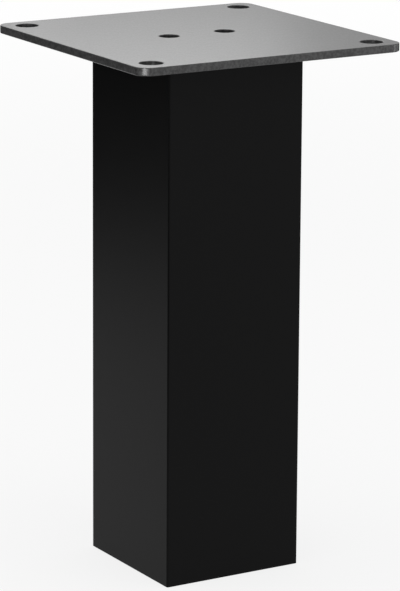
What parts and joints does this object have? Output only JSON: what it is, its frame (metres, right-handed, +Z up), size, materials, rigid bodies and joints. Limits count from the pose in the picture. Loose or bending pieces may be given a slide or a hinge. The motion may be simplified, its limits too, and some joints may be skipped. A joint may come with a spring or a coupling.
{
  "type": "bar support leg",
  "caption": "Black square post welded under a larger square plate, which has screw holes at its corners and driver holes over the foot plate hidden in the post.",
  "frame": {"origin": "centre of the foot, on the surface that the leg stands on", "axes": "+Z up along the post towards the top plate; +X through the two driver holes"},
  "size_m": [0.116, 0.116, 0.212],
  "materials": {
    "plate_coat": "dark grey satin powder coat with a fine orange-peel texture",
    "post_coat": "deep black matt powder coat with a faint fine grain"
  },
  "bodies": {
    "root": {"top_plate": "plate_coat", "post_tube": "post_coat", "foot_plate": "post_coat", "top_weld": "post_coat", "foot_weld": "post_coat"}
  },
  "joints": []
}
